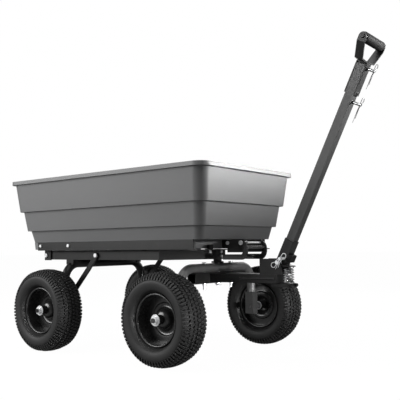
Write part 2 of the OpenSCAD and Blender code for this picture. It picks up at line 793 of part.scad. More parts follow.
// Bolts of the braces and the front post
module frame_bolts() color(zinc) placed() {
    head = bolt_d * head_share;
    side = rail_out + brace_t;
    both_sides() {
        bar_y(brace_top[0], brace_top[1], bolt_d, rail_in - nut_h, side);
        bar_y(brace_top[0], brace_top[1], head, side, side + head_h);
        translate([brace_top[0], rail_in - nut_h, brace_top[1]]) rotate([-90, 0, 0]) nut(head, nut_h, bolt_d);
        bar_y(brace_foot[0], brace_foot[1], bolt_d, rail_out - head_h, knuckle_y1);
        bar_y(brace_foot[0], brace_foot[1], head, rail_out - head_h, rail_out);
        bar_y(brace_foot[0], brace_foot[1], head, knuckle_y1, knuckle_y1 + head_h);
    }
    for (z = post_bolt_z) {
        bar_x(0, deck_z + z, post_bolt_d, post_x1 - post_bolt_l, post_x1);
        bar_x(0, deck_z + z, post_bolt_d * head_share, post_x1, post_x1 + head_h);
    }
}

// Block where the two main rails meet, over the front axle
module front_post() color(paint_black) placed() difference() {
    block(post_x0, post_x1, -post_w / 2, post_w / 2, deck_z, rail_top);
    bar_z(wheelbase, 0, king_d + 2 * fit, deck_z - over, rail_top + over);
    for (z = post_bolt_z)
        bar_x(0, deck_z + z, post_bolt_d + 2 * fit, post_x1 - post_bolt_l, post_x1 + over);
}

// Bolt that the front axle steers on
module kingpin() color(zinc) placed() {
    bar_z(wheelbase, 0, king_d, beam_z - beam_h - gap - nut_h - spindle_tip, rail_top);
    bar_z(wheelbase, 0, king_d * head_share, rail_top, rail_top + king_head_h / 2);
    translate([wheelbase, 0, beam_z - beam_h - gap - nut_h]) nut(king_d * head_share, nut_h, king_d);
}

module kingpin_collar() color(paint_black) placed() difference() {
    z0 = front_hoop_z + hoop_d / 2 + gap;
    h = deck_z - z0;
    union() {
        bar_z(wheelbase, 0, collar_d, z0, z0 + h * collar_flange_share);
        bar_z(wheelbase, 0, collar_neck_d, z0, deck_z);
    }
    bar_z(wheelbase, 0, king_d + 2 * fit, z0 - over, deck_z + over);
}

// Bolts that the tub tips on
module tub_pivot_bolts() color(zinc) placed() both_sides() {
    end = rail_out + tab_gap + tab_t + gap;
    head = pivot_d * head_share;
    bar_y(pivot_x, pivot_z, pivot_d, rail_in - nut_h, end);
    bar_y(pivot_x, pivot_z, head, end, end + head_h);
    translate([pivot_x, rail_in - nut_h, pivot_z]) rotate([-90, 0, 0]) nut(head, nut_h, pivot_d);
}

module rest_pads() color(rubber_black) placed() for (x = pad_places) both_sides()
    block(x - pad_l / 2, x + pad_l / 2, rail_out - pad_w - over, rail_out - over, rail_top, tub_rail_z - gap);

module front_hoop() color(paint_grey) placed() translate([wheelbase, 0, 0]) difference() {
    hoop(front_hoop_z);
    bar_z(0, 0, king_d + 2 * fit, front_hoop_z - hoop_d, front_hoop_z + hoop_d);
    both_sides() bar_z(0, hoop_bolt_y, bolt_d + 2 * fit, front_hoop_z - hoop_d, front_hoop_z + hoop_d);
}

// Box beam under the front hoop
module steer_beam() color(paint_black) placed() difference() {
    block(wheelbase - beam_l / 2, wheelbase + beam_l / 2, -hoop_flat, hoop_flat, beam_z - beam_h, beam_z);
    block(wheelbase - beam_l / 2 + beam_t, wheelbase + beam_l / 2 - beam_t,
        -hoop_flat - over, hoop_flat + over, beam_z - beam_h + beam_t, beam_z - beam_t);
    bar_z(wheelbase, 0, king_d + 2 * fit, beam_z - beam_h - over, beam_z + over);
    both_sides() bar_z(wheelbase, hoop_bolt_y, bolt_d + 2 * fit, beam_z - beam_h - over, beam_z + over);
}

module hoop_bolts() color(zinc) placed() both_sides()
    through_bolt(wheelbase, hoop_bolt_y, front_hoop_z + hoop_d / 2, beam_z - beam_h);

// Half of the drawbar plan, wide at the beam and narrow at the tongue
function drawbar_half(w, x1) = [
    [drawbar_x0, 0], [drawbar_x0, drawbar_wide / 2 - w],
    [drawbar_x0 + drawbar_neck, drawbar_w / 2 - w], [x1, drawbar_w / 2 - w], [x1, 0]];

// Pressed tray that links the front beam to the tongue, open below, with a bead along each side
module drawbar() color(paint_black) placed() {
    both_sides() difference() {
        translate([0, 0, drawbar_z]) linear_extrude(drawbar_h) polygon(drawbar_half(0, drawbar_x1));
        translate([0, 0, drawbar_z - over])
            linear_extrude(drawbar_h - plate_t + over) polygon(drawbar_inside());
    }
    both_sides()
        bar_x(drawbar_w / 2, drawbar_z + drawbar_h / 2, bead_d, drawbar_x0 + drawbar_neck, drawbar_x1 - bead_end);
}

function drawbar_inside() = [for (p = drawbar_half(plate_t, drawbar_x1 - plate_t))
    [max(p[0], drawbar_x0 + plate_t), p[1] == 0 ? -over : p[1]]];

bracket_y = bracket_gap / 2;
bracket_x0 = wheelbase + bracket_back;
bracket_x1 = wheelbase + bracket_front;
bracket_side = [
    [bracket_x0, drawbar_top], [bracket_x1, drawbar_top],
    [bracket_x1 - bracket_slant, bracket_top], [bracket_x0, bracket_top]];

// Channel on the end of the drawbar that the tongue hinges in
module tongue_bracket() color(paint_black) placed() difference() {
    union() {
        block(bracket_x0, drawbar_x1 - bracket_base_end, -bracket_y, bracket_y, drawbar_top, drawbar_top + plate_t);
        both_sides() upright(bracket_y, plate_t) polygon(bracket_side);
    }
    bar_y(hinge[0], hinge[1], hinge_d + 2 * fit, -drawbar_w, drawbar_w);
}

seat_x0 = drawbar_x1 - seat_back;
seat_x1 = drawbar_x1 + seat_reach;

// Folded seat under the tongue springs
module spring_seat() color(paint_black) placed() difference() {
    block(seat_x0, seat_x1, -seat_w / 2, seat_w / 2, drawbar_z - seat_h, drawbar_z);
    block(seat_x0 - over, seat_x1 - plate_t, -seat_w / 2 + plate_t, seat_w / 2 - plate_t,
        drawbar_z - seat_h - over, drawbar_z - plate_t);
}

module seat_buffers() color(rubber_black) placed() both_sides()
    bar_x(knob_y, drawbar_z - seat_h / 2, knob_d, seat_x1, seat_x1 + knob_l);

// Cross pin along Y with its head on +Y and a clip hole near its other end
module cross_pin(p, d, y0, y1) difference() {
    union() {
        bar_y(p[0], p[1], d, -y0, y1);
        bar_y(p[0], p[1], d * pin_head_share, y1, y1 + pin_head_t);
    }
    children();
}

pivot_clip_turn = 56;
sleeve_clip_turn = 242;

module clip_hole(d) translate([-d, 0, 0]) rotate([0, 90, 0]) cylinder(d = clip_wire + 2 * fit, h = 2 * d);

module at_clip(p, y, turn) translate([p[0], -y, p[1]]) rotate([90, 0, 0]) rotate(turn) children();

module tongue_pivot_pin() color(zinc) placed()
    cross_pin(hinge, hinge_d, pivot_clip_y + pin_tip, bracket_y + plate_t + gap)
        at_clip(hinge, pivot_clip_y, pivot_clip_turn) clip_hole(hinge_d);

module pivot_pin_clip() color(zinc) placed()
    at_clip(hinge, pivot_clip_y, pivot_clip_turn) spring_clip(hinge_d, clip_short);

module tongue_springs() color(zinc) placed() both_sides()
    translate([spring_x, spring_y, drawbar_z]) coil(spring_d, spring_wire, spring_h, spring_turns, "tongue spring gap");

// Square tube up to the grip, drilled for its pins
module tongue_tube() color(paint_grey) placed() on_tongue() difference() {
    s0 = hinge_s + sleeve_floor;
    translate([-tongue_w / 2, -tongue_w / 2, s0]) cube([tongue_w, tongue_w, tongue_len - s0]);
    translate([-tongue_w / 2 + tongue_t, -tongue_w / 2 + tongue_t, s0 - over])
        cube([tongue_w - 2 * tongue_t, tongue_w - 2 * tongue_t, tongue_len - s0 + 2 * over]);
    for (s = [upper_pin_s, lower_pin_s]) bar_x(0, s, hitch_d + 2 * fit, -tongue_w, tongue_w);
    bar_y(foot_pin_n, 0, foot_pin_d + 2 * fit, -tongue_w, tongue_w);
}

// Socket that holds the foot of the tongue and hinges in the bracket
module tongue_sleeve() color(paint_grey) placed() on_tongue() difference() {
    hole = tongue_w + 2 * sleeve_slack;
    union() {
        translate([-sleeve_w / 2, -sleeve_w / 2, hinge_s]) cube([sleeve_w, sleeve_w, sleeve_len - hinge_s]);
        bar_y(hinge_n, hinge_s, lug_d, -sleeve_w / 2, sleeve_w / 2);
    }
    translate([-hole / 2, -hole / 2, hinge_s + sleeve_floor]) cube([hole, hole, sleeve_len - hinge_s]);
    bar_y(hinge_n, hinge_s, hinge_d + 2 * fit, -sleeve_w, sleeve_w);
    bar_y(foot_pin_n, 0, foot_pin_d + 2 * fit, -sleeve_w, sleeve_w);
}

// Wedge under the sleeve that stands on the springs
module spring_foot() color(paint_black) placed() {
    front = tongue_point(hinge_s, sleeve_w / 2);
    back = tongue_point(hinge_s, wedge_back);
    nose = spring_x + spring_d / 2;
    upright(-bracket_y + over, 2 * bracket_y - 2 * over) polygon([front, back, [back[0], spring_foot_z],
        [nose, spring_foot_z], [nose, spring_foot_z + plate_t]]);
}

module tongue_bumper() color(rubber_black) placed() on_tongue()
    block(sleeve_w / 2, sleeve_w / 2 + bumper_t, -sleeve_w / 2, sleeve_w / 2, bumper_low, bumper_high);

module sleeve_pin() color(zinc) placed()
    cross_pin(foot_pin, foot_pin_d, sleeve_clip_y + pin_tip, sleeve_w / 2)
        at_clip(foot_pin, sleeve_clip_y, sleeve_clip_turn) clip_hole(foot_pin_d);

module sleeve_pin_clip() color(zinc) placed()
    at_clip(foot_pin, sleeve_clip_y, sleeve_clip_turn) spring_clip(foot_pin_d, clip_len);

// Plates on the front and back faces of the tongue's end, for towing
module clevis_plates() color(paint_black) placed() on_tongue() difference() {
    for (n = [-tongue_w / 2 - clevis_t, tongue_w / 2])
        translate([n, -tongue_w / 2, clevis_top - clevis_len]) cube([clevis_t, tongue_w, clevis_len]);
    bar_x(0, upper_pin_s, hitch_d + 2 * fit, -2 * tongue_w, 2 * tongue_w);
}

// Half outline of the grip strap in the tongue's cross plane, from the neck to the bar
function strap_path(side) = [
    [0, grip_base_s + strap_t / 2], [side * grip_neck_w / 2, grip_base_s + strap_t / 2],
    [side * grip_foot_w / 2, grip_base_s + strap_t], [side * (grip_w - strap_t) / 2, grip_s - grip_knee],
    [side * (grip_w - strap_t) / 2, grip_s]];

// Draw in Y and up the tongue, and run through the thickness w of the grip
module grip_plate(w) translate([-w / 2, 0, 0]) rotate([90, 0, 90]) linear_extrude(w) children();

// Bent strap with the tang that drops into the tongue, and the core of the grip bar
module grip_frame() color(paint_grey) placed() on_tongue() difference() {
    union() {
        for (side = [-1, 1]) {
            grip_plate(strap_w) polygon(bar_outline(strap_path(side), strap_t));
            on_side(side) bar_y(0, grip_s, strap_w, grip_w / 2 - strap_t, grip_w / 2);
        }
        bar_y(0, grip_s, grip_core_d, -grip_w / 2 + strap_t / 2, grip_w / 2 - strap_t / 2);
        translate([-tang_w / 2, -tang_w / 2, tongue_len - tang_len])
            cube([tang_w, tang_w, tang_len + grip_base_s - tongue_len + strap_t / 2]);
    }
    bar_x(0, upper_pin_s, hitch_d + 2 * fit, -tongue_w, tongue_w);
    both_sides() bar_y(0, grip_s, rivet_d + 2 * fit, grip_w / 4, grip_w / 2 + over);
}

// Padded bar between the straps
module grip_sleeve() color(rubber_black) placed() on_tongue() difference() {
    end = grip_w / 2 - strap_t - gap / 2;
    bar_y(0, grip_s, grip_d, -end, end);
    bar_y(0, grip_s, grip_core_d + 2 * fit, -grip_w, grip_w);
}

// Bolts of the grip bar and rivets of the clevis plates
module tongue_bolts() color(paint_black) placed() on_tongue() {
    both_sides() {
        bar_y(0, grip_s, rivet_d, grip_w / 4, grip_w / 2);
        bar_y(0, grip_s, rivet_d * head_share, grip_w / 2, grip_w / 2 + head_h);
    }
    front = tongue_w / 2 + clevis_t;
    bar_x(0, clevis_top - clevis_len + rivet_d, rivet_d, front, front + rivet_h);
}

// Hitch pin through the tongue, its head behind and its clip end in front
module hitch_pin(s, wall) placed() on_tongue() difference() {
    end = tongue_w / 2 + clevis_t + hitch_out;
    union() {
        bar_x(0, s, hitch_d, -tongue_w / 2 - wall, end);
        bar_x(0, s, hitch_d * pin_head_share, -tongue_w / 2 - wall - pin_head_t, -tongue_w / 2 - wall);
    }
    hitch_clip_place(s) clip_hole(hitch_d);
}

module hitch_clip_place(s)
    translate([tongue_w / 2 + clevis_t + hitch_out - hitch_clip_back, 0, s]) rotate([0, 90, 0]) children();

module upper_hitch_pin() color(zinc) hitch_pin(upper_pin_s, clevis_t);
module lower_hitch_pin() color(zinc) hitch_pin(lower_pin_s, 0);
module hitch_clip(s) placed() on_tongue() hitch_clip_place(s) spring_clip(hitch_d, hitch_clip_len);
module upper_hitch_clip() color(zinc) hitch_clip(upper_pin_s);
module lower_hitch_clip() color(zinc) hitch_clip(lower_pin_s);

// Point on the tyre section, a rounded square between the rim flange and the tread
function power(v) = sign(v) * pow(abs(v), tyre_power_share);
function tyre_point(a, side) = [
    (tyre_d + rim_d) / 4 + (tyre_d - rim_d) / 4 * power(sin(a)),
    side * tyre_w / 2 * power(cos(a))];

tyre_wall = [for (i = [0 : tyre_steps]) bead_angle + (90 - bead_angle) * i / tyre_steps];
tyre_profile = concat(
    [[seat_r, -bead], [rim_d / 2 + gap, -bead]],
    [for (a = tyre_wall) tyre_point(a, -1)],
    [for (i = [tyre_steps - 1 : -1 : 0]) tyre_point(tyre_wall[i], 1)],
    [[rim_d / 2 + gap, bead], [seat_r, bead]]);

module tyre(x, side) color(rubber_black) at_wheel(x, side) rotate_extrude() polygon(tyre_profile);

rim_profile = [
    [seat_r - rim_t, -rim_w / 2], [rim_d / 2, -rim_w / 2], [rim_d / 2, -bead], [seat_r, -bead],
    [seat_r, bead], [rim_d / 2, bead], [rim_d / 2, rim_w / 2], [seat_r - rim_t, rim_w / 2]];

disc_line = [
    [seat_r - rim_t / 2, disc_step - disc_in], [ring_d / 2, disc_step - disc_in],
    [ring_d / 2 - disc_step, -disc_in], [dome_d / 2, -disc_in],
    [dome_d / 2 - dome_h, dome_h - disc_in], [hub_d / 2 - rim_t / 2, dome_h - disc_in]];
disc_profile = concat(disc_line,
    [for (i = [len(disc_line) - 1 : -1 : 0]) disc_line[i] - [0, rim_t]]);

// Pressed steel rim with its dished disc and the hub tube welded in
module rim(x, side) color(paint_black) at_wheel(x, side) difference() {
    union() {
        rotate_extrude() polygon(rim_profile);
        rotate_extrude() polygon(disc_profile);
        translate([0, 0, hub_in]) cylinder(d = hub_d, h = hub_len);
    }
    translate([0, 0, hub_in - over]) cylinder(d = bearing_d + 2 * fit, h = hub_len + 2 * over);
}

module rear_left_tyre() tyre(0, 1);
module rear_left_rim() rim(0, 1);
module rear_right_tyre() tyre(0, -1);
module rear_right_rim() rim(0, -1);
module front_left_tyre() tyre(wheelbase, 1);
module front_left_rim() rim(wheelbase, 1);
module front_right_tyre() tyre(wheelbase, -1);
module front_right_rim() rim(wheelbase, -1);

// Flanged bush at one end of a hub tube
module bearing(z, out) translate([0, 0, z]) rotate([out > 0 ? 0 : 180, 0, 0]) difference() {
    union() {
        translate([0, 0, -bearing_l]) cylinder(d = bearing_d, h = bearing_l);
        cylinder(d = hub_d, h = bearing_lip);
    }
    translate([0, 0, -bearing_l - over]) cylinder(d = spindle_d + 2 * fit, h = bearing_l + bearing_lip + 2 * over);
}

module wheel_bearings(x) color(zinc) for (side = [1, -1]) at_wheel(x, side) {
    bearing(hub_out, 1);
    bearing(hub_in, -1);
}

module rear_wheel_bearings() wheel_bearings(0);
module front_wheel_bearings() wheel_bearings(wheelbase);

tub();
tub_rail_left();
tub_rail_right();
tub_bolts();
tub_crossbar();
crossbar_buffers();
latch_bracket();
lift_handle();
handle_pivot_pin();
latch_spring();
main_rail_left();
main_rail_right();
rear_saddles();
rear_hoop();
rear_brace_left();
rear_brace_right();
rear_spindles();
rear_wheel_nuts();
frame_bolts();
front_post();
kingpin();
kingpin_collar();
tub_pivot_bolts();
rest_pads();
front_hoop();
front_spindles();
front_wheel_nuts();
steer_beam();
hoop_bolts();
drawbar();
tongue_bracket();
spring_seat();
seat_buffers();
tongue_pivot_pin();
pivot_pin_clip();
tongue_springs();
tongue_tube();
tongue_sleeve();
spring_foot();
tongue_bumper();
sleeve_pin();
sleeve_pin_clip();
clevis_plates();
grip_frame();
grip_sleeve();
tongue_bolts();
upper_hitch_pin();
upper_hitch_clip();
lower_hitch_pin();
lower_hitch_clip();
rear_left_tyre();
rear_left_rim();
rear_right_tyre();
rear_right_rim();
front_left_tyre();
front_left_rim();
front_right_tyre();
front_right_rim();
rear_wheel_bearings();
front_wheel_bearings();
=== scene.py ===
import json
import math

import bmesh
import bpy
from mathutils import Matrix, Vector


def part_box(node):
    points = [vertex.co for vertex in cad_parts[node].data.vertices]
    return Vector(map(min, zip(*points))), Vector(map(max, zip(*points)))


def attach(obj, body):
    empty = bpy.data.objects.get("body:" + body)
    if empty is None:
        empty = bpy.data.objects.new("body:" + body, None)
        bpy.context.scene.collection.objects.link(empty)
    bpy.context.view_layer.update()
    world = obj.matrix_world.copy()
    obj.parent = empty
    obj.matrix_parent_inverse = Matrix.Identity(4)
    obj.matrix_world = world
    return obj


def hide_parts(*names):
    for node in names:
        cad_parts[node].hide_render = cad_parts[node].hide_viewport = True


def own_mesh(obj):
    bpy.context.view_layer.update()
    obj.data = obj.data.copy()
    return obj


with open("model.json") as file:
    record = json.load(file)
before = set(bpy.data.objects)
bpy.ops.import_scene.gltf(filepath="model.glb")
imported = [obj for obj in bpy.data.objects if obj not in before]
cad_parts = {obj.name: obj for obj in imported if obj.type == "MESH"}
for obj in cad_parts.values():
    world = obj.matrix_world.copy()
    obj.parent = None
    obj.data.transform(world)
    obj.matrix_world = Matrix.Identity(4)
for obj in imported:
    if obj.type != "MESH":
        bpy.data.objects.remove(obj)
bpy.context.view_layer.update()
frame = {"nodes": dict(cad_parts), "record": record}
nodes = frame["nodes"]
bodyOf = {n: b for b, names in frame["record"]["behaviour"]["bodies"].items() for n in names}
slotOf = {p["node"]: p["material_slot"] for p in frame["record"]["subparts"]}
up = Vector((0, 0, 1))
across = Vector((0, 1, 0))
along = Vector((1, 0, 0))


# Shader wiring

class Wire:
    def __init__(self, tree, socket=None):
        self.tree = tree
        self.socket = socket

    def add(self, kind, settings=None, inputs=None, out=0):
        node = self.tree.nodes.new("ShaderNode" + kind)
        for key, value in (settings or {}).items():
            if key == "stops":
                fillRamp(node.color_ramp, value)
            else:
                setattr(node, key, value)
        for key, value in (inputs or {}).items():
            if isinstance(value, Wire):
                self.tree.links.new(value.socket, node.inputs[key])
            else:
                node.inputs[key].default_value = value
        return Wire(self.tree, node.outputs[out])

    def math(self, operation, a, b):
        return self.add("Math", {"operation": operation}, {0: a, 1: b})

    def __add__(self, other):
        return self.math("ADD", self, other)

    def __radd__(self, other):
        return self.math("ADD", other, self)

    def __sub__(self, other):
        return self.math("SUBTRACT", self, other)

    def __rsub__(self, other):
        return self.math("SUBTRACT", other, self)

    def __mul__(self, other):
        return self.math("MULTIPLY", self, other)

    def __rmul__(self, other):
        return self.math("MULTIPLY", other, self)


def fillRamp(ramp, stops):
    while len(ramp.elements) < len(stops):
        ramp.elements.new(1.0)
    for element, (place, value) in zip(ramp.elements, stops):
        element.position = place
        element.color = (value, value, value, 1.0)


def noise(w, scale, detail=3.0, rough=0.55, stretch=(1, 1, 1)):
    place = w.add("TexCoord", out="Object")
    if stretch != (1, 1, 1):
        place = w.add("Mapping", None, {"Vector": place, "Scale": stretch})
    inputs = {"Vector": place, "Scale": scale, "Detail": detail, "Roughness": rough}
    return w.add("TexNoise", None, inputs, "Fac")


def bump(w, height, look):
    return w.add("Bump", None, {"Height": height, "Strength": look["bump"], "Distance": look["depth"]})


def grey(v, tint=0.0):
    return (v * (1 - tint), v, v * (1 + tint), 1.0)


def newMaterial(name, fixed):
    mat = bpy.data.materials.new(name)
    mat.use_nodes = True
    mat.diffuse_color = grey(0.3)  # for the solid view
    shader = mat.node_tree.nodes["Principled BSDF"]
    for key, value in fixed.items():
        shader.inputs[key].default_value = value
    return mat, Wire(mat.node_tree), shader


def plug(w, shader, **links):
    names = {"base": "Base Color", "rough": "Roughness", "normal": "Normal"}
    for key, wire in links.items():
        w.tree.links.new(wire.socket, shader.inputs[names[key]])


def mixColour(w, factor, a, b):
    return w.add("Mix", {"data_type": "RGBA"}, {0: factor, 6: a, 7: b}, 2)


# Finishes: pattern scales are per metre, depths are in metres

polyLook = {"dark": 0.118, "pale": 0.142, "tint": 0.01, "specular": 0.45, "rough": 0.40,
            "mottle": 9.0, "streak": 14.0, "grain": 1500.0, "bump": 0.22, "depth": 0.00012}
paintLook = {"dust": 22.0, "film": [(0.45, 0.0), (0.8, 1.0)], "peel": 420.0, "bump": 0.1, "depth": 0.00006}
tyreLook = {"dark": 0.0085, "pale": 0.0180, "specular": 0.25, "rough": 0.46,
            "cloud": 30.0, "grain": 900.0, "bump": 0.12, "depth": 0.0002}
zincLook = {"tint": 0.01, "spangle": 160.0, "brush": 1200.0, "bump": 0.06, "depth": 0.00005}
foamLook = {"dark": 0.005, "pale": 0.010, "specular": 0.15,
            "cloud": 40.0, "cell": 1400.0, "bump": 0.15, "depth": 0.0001}


def polyPlastic():
    mat, w, shader = newMaterial("polyPlastic", {"Specular IOR Level": polyLook["specular"]})
    mottle = noise(w, polyLook["mottle"], 4.0)
    fine = noise(w, polyLook["grain"], 2.0)
    streak = noise(w, polyLook["streak"], 3.0, 0.6, (1.0, 1.0, 6.0))
    dark = grey(polyLook["dark"], polyLook["tint"])
    pale = grey(polyLook["pale"], polyLook["tint"])
    plug(w, shader,
         base=mixColour(w, mottle * 0.6 + streak * 0.4, dark, pale),
         rough=polyLook["rough"] + 0.12 * fine + 0.06 * mottle,
         normal=bump(w, fine, polyLook))
    return mat


def powderPaint(name, tone, rough, specular=0.5):
    mat, w, shader = newMaterial(name, {"Specular IOR Level": specular})
    dust = noise(w, paintLook["dust"], 5.0, 0.65)
    peel = noise(w, paintLook["peel"], 2.0)
    film = w.add("ValToRGB", {"stops": paintLook["film"]}, {"Fac": dust})
    plug(w, shader,
         base=mixColour(w, film, grey(tone), grey(tone * 1.35 + 0.002)),
         rough=rough + 0.12 * dust - 0.06,
         normal=bump(w, peel, paintLook))
    return mat


def tyreRubber():
    mat, w, shader = newMaterial("tyreRubber", {"Specular IOR Level": tyreLook["specular"]})
    cloud = noise(w, tyreLook["cloud"], 5.0, 0.6)
    grain = noise(w, tyreLook["grain"], 3.0)
    plug(w, shader,
         base=mixColour(w, cloud, grey(tyreLook["dark"]), grey(tyreLook["pale"])),
         rough=tyreLook["rough"] + 0.18 * cloud,
         normal=bump(w, grain, tyreLook))
    return mat


def zincPlate(name, dark, pale, rough, metal):
    mat, w, shader = newMaterial(name, {"Metallic": metal})
    spangle = noise(w, zincLook["spangle"], 3.0)
    brush = noise(w, zincLook["brush"], 2.0, 0.5, (1.0, 0.15, 1.0))
    plug(w, shader,
         base=mixColour(w, spangle, grey(dark, zincLook["tint"]), grey(pale, zincLook["tint"])),
         rough=rough + 0.14 * brush,
         normal=bump(w, brush, zincLook))
    return mat


def foamRubber(name, rough):
    mat, w, shader = newMaterial(name, {"Specular IOR Level": foamLook["specular"]})
    place = w.add("TexCoord", out="Object")
    cell = w.add("TexVoronoi", None, {"Vector": place, "Scale": foamLook["cell"]}, "Distance")
    cloud = noise(w, foamLook["cloud"], 3.0)
    plug(w, shader,
         base=mixColour(w, cloud, grey(foamLook["dark"]), grey(foamLook["pale"])),
         rough=rough + 0.15 * cloud,
         normal=bump(w, cell, foamLook))
    return mat


finishes = {
    "poly": polyPlastic(),
    "paint_grey": powderPaint("greyPaint", 0.018, 0.42, 0.3),
    "paint_black": powderPaint("blackPaint", 0.007, 0.36, 0.22),
    "rim_black": powderPaint("rimPaint", 0.018, 0.26),
    "rubber": foamRubber("rubberStop", 0.55),
    "grip_foam": foamRubber("gripFoam", 0.62),
    "tyre": tyreRubber(),
    "zinc": zincPlate("zincPlate", 0.66, 0.86, 0.24, 0.5),
    "spring_steel": zincPlate("springWire", 0.3, 0.5, 0.2, 1.0),
    "clip": zincPlate("clipWire", 0.08, 0.16, 0.25, 1.0),
    "pin": zincPlate("pinSteel", 0.22, 0.36, 0.22, 1.0),
    # the rail coat is a darker copy of the grey paint: painted shade on the rails and on the tongue's
    # sleeve
    "rail": powderPaint("railPaintShaded", 0.008, 0.40, 0.22),
    # the tongue coat is a lighter copy of the grey paint: painted light on the tongue tube and the front
    # spindles
    "tongue": powderPaint("tonguePaintLit", 0.028, 0.38, 0.35),
    # the hoop coat is a far lighter copy of the grey paint: painted light on the front hoop
    "hoop": powderPaint("hoopPaintLit", 0.095, 0.36, 0.35),
    "handle": powderPaint("handlePaint", 0.016, 0.24, 0.5),
}
# the rail, tongue and hoop coats and the black on the grip frame are painted shade and painted light
ownCoat = {  # pieces whose coat looks other than their slot's
    # painted shade: the tub rails and main rails take the darker copy of the grey paint
    "tub_rail_left": "rail",
    "tub_rail_right": "rail",
    "main_rail_left": "rail",
    "main_rail_right": "rail",
    # painted light: the tongue tube takes the lighter copy of the grey paint
    "tongue_tube": "tongue",
    # painted shade: the sleeve takes the darker copy so the tongue is darker towards its foot
    "tongue_sleeve": "rail",
    # painted light: the front hoop takes the much lighter copy of the grey paint
    "front_hoop": "hoop",
    # painted light: the front spindles take the same lighter copy of the grey paint
    "front_spindles": "tongue",
    "lift_handle": "handle",
    # painted shade: the grip frame takes the black paint so its far strap is as dark as it shows in shade
    "grip_frame": "paint_black",
    "upper_hitch_clip": "clip",
    "lower_hitch_clip": "clip",
    "upper_hitch_pin": "pin",
    "lower_hitch_pin": "pin",
}
print("finishes", len(finishes))


# Pieces made from the frame's own solids, with broken edges

dressSet = {
    "weld": 1e-5,
    "flat": 0.5,  # degrees, under which neighbouring facets are one face
    "corner": 40.0,  # degrees, over which an edge is broken
    "steps": 2,
    "edge": {"paint_grey": 0.0012, "paint_black": 0.0010, "zinc": 0.0006, "rubber": 0.0015},
    "slim": {"handle_pivot_pin": 0.98},  # turns free in the handle's faceted bores
}
wireSet = {
    "names": ["pivot_pin_clip", "sleeve_pin_clip", "upper_hitch_clip", "lower_hitch_clip", "latch_spring",
              "tongue_springs"],
    "levels": 2,
    "smooth": 80.0,
    "springKeep": 0.5,
}


def settle(bm, name, finish, smoothAngle=35.0):
    mesh = bpy.data.meshes.new(name)
    bm.to_mesh(mesh)
    bm.free()
    mesh.shade_smooth()
    mesh.set_sharp_from_angle(angle=math.radians(smoothAngle))
    piece = bpy.data.objects.new(name, mesh)
    bpy.context.scene.collection.objects.link(piece)
    mesh.materials.append(finishes[finish])
    return piece


def breakEdges(piece, width, segments):
    soften = piece.modifiers.new("brokenEdge", "BEVEL")
    soften.width = width
    soften.segments = segments
    soften.limit_method = "ANGLE"
    soften.angle_limit = math.radians(dressSet["corner"])


def evenShading(piece):
    even = piece.modifiers.new("evenShading", "WEIGHTED_NORMAL")
    even.keep_sharp = True


def standFor(piece, name):
    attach(piece, bodyOf[name])
    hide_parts(name)


def mergedCopy(name):
    bm = bmesh.new()
    bm.from_mesh(nodes[name].data)
    bmesh.ops.remove_doubles(bm, verts=bm.verts[:], dist=dressSet["weld"])
    return bm


def slimPin(bm, name):
    low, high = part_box(name)
    middle = Matrix.Translation((low + high) / -2)
    share = dressSet["slim"][name]
    bmesh.ops.scale(bm, verts=bm.verts[:], vec=(share, 1, share), space=middle)


def dressNode(name):
    bm = mergedCopy(name)
    if name in dressSet["slim"]:
        slimPin(bm, name)
    flat = math.radians(dressSet["flat"])
    bmesh.ops.dissolve_limit(bm, angle_limit=flat, verts=bm.verts[:], edges=bm.edges[:])
    piece = settle(bm, name + "_dressed", ownCoat.get(name, slotOf[name]))
    breakEdges(piece, dressSet["edge"][slotOf[name]], dressSet["steps"])
    evenShading(piece)
    standFor(piece, name)


def roundWire(name):
    piece = settle(mergedCopy(name), name + "_wire", ownCoat.get(name, slotOf[name]), wireSet["smooth"])
    smooth = piece.modifiers.new("roundWire", "SUBSURF")
    smooth.levels = wireSet["levels"]
    smooth.render_levels = wireSet["levels"]
    standFor(piece, name)
    return piece


def squashSprings(coil):
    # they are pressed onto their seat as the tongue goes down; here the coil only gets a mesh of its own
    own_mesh(coil)


custom = ["tub", "grip_sleeve"] + [n for n in nodes if n.endswith(("_tyre", "_rim"))]
for n in sorted(nodes):
    if n not in wireSet["names"] and n not in custom:
        dressNode(n)
for n in wireSet["names"]:
    coil = roundWire(n)
    if n == "tongue_springs":
        squashSprings(coil)
print("dressed", len(nodes) - len(custom))


# Thin rubber strip on each main rail, under the tub rail

stripSet = {"rear": 0.016, "long": 0.43, "wide": 0.016, "clear": 0.0002, "edge": 0.0004}


def layStrip(side):
    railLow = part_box("main_rail_" + side)[0]
    padLow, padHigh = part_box("rest_pads")
    reach = padHigh.y - stripSet["wide"] / 2
    middle = Vector((railLow.x + stripSet["rear"] + stripSet["long"] / 2,
                     reach if side == "left" else -reach,
                     (padLow.z + padHigh.z) / 2))
    size = (stripSet["long"], stripSet["wide"], padHigh.z - padLow.z - stripSet["clear"])
    bm = bmesh.new()
    bmesh.ops.create_cube(bm, size=1.0, matrix=Matrix.Translation(middle) @ Matrix.Diagonal((*size, 1)))
    bmesh.ops.bevel(bm, geom=bm.edges[:], offset=stripSet["edge"], offset_type="OFFSET", segments=2,
                    profile=0.5, affect="EDGES", material=-1)
    piece = settle(bm, "rail_strip_" + side, "rubber")
    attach(piece, bodyOf["rest_pads"])


for side in ("left", "right"):
    layStrip(side)
print("strips done")


# Tub

tubSet = {
    "cornerSteps": 10,
    "footCorner": 0.015,
    "rimCorner": 0.048,
    "cornerFall": 0.25,  # how fast the corners tighten as the bands step in
    "wall": 0.0045,
    "footFront": 0.108,
    "footBack": (0.083, 0.077),  # under the foot, then at the ledge
    "footSide": 0.0805,
    "ledge": 0.032,
    # each band's height, and its inset low and high
    "bands": [(0.050, 0.076, 0.064), (0.084, 0.052, 0.039), (0.119, 0.027, 0.012)],
    "lipOut": 0.012,
    "soften": 0.0028,
    "plate": {"x": (-0.3867, -0.2207), "z": (0.606, 0.656), "border": 0.0012, "sink": 0.0007},
    "smooth": 50.0,
}


